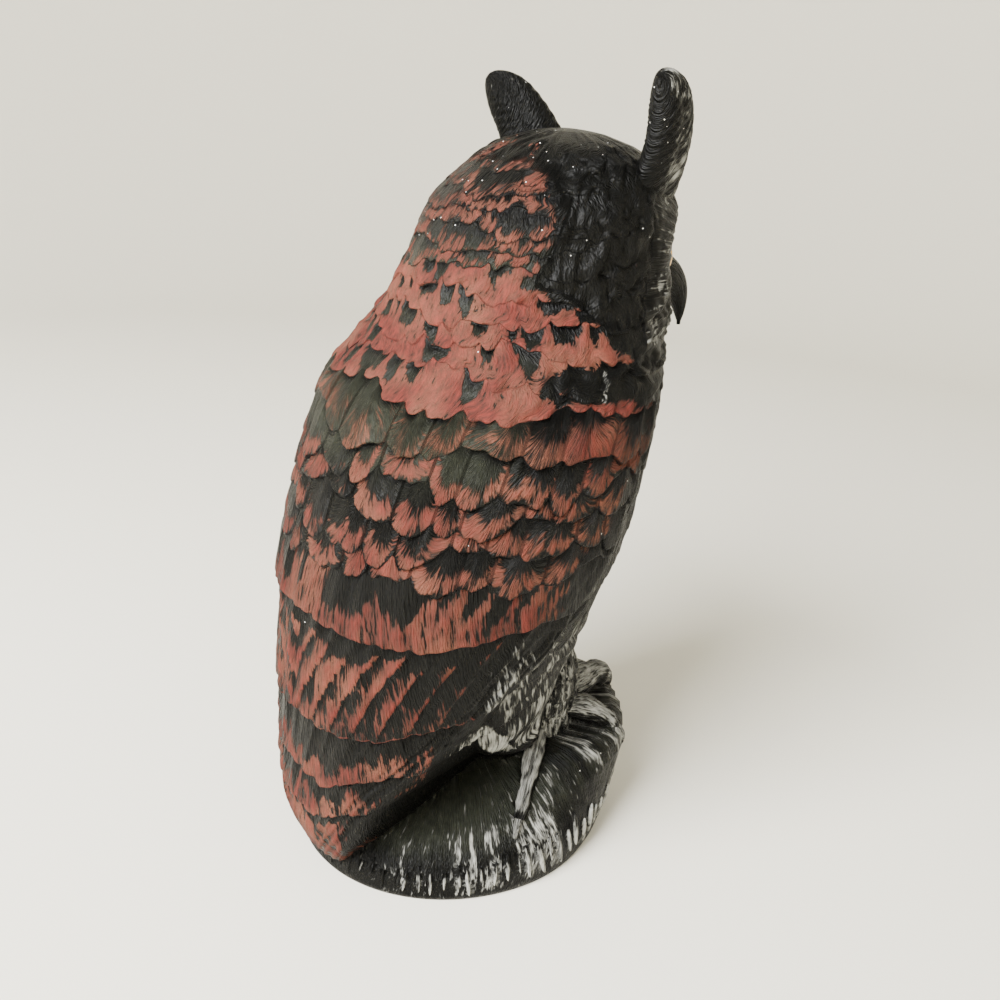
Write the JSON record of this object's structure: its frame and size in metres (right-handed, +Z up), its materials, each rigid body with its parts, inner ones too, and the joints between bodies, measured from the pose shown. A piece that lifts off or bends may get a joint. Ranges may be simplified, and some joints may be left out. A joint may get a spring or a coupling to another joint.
{
  "type": "owl decoy",
  "caption": "Moulded great horned owl garden decoy standing on a rounded ribbed rock, with layered feathers, ear tufts, hooked beak and clawed feet.",
  "frame": {"origin": "on the flat underside of the rock, below the middle of the bird's body", "axes": "+Z up from the floor to the ear tufts, -Y the way the bird faces, -X towards its right wing"},
  "size_m": [0.1884, 0.2342, 0.4032],
  "materials": {
    "painted_plastic": "matte black paint, dry-brushed coral on the feathers and silver grey on the face, legs and rock"
  },
  "bodies": {
    "root": {"owl_decoy": "painted_plastic"}
  },
  "joints": []
}
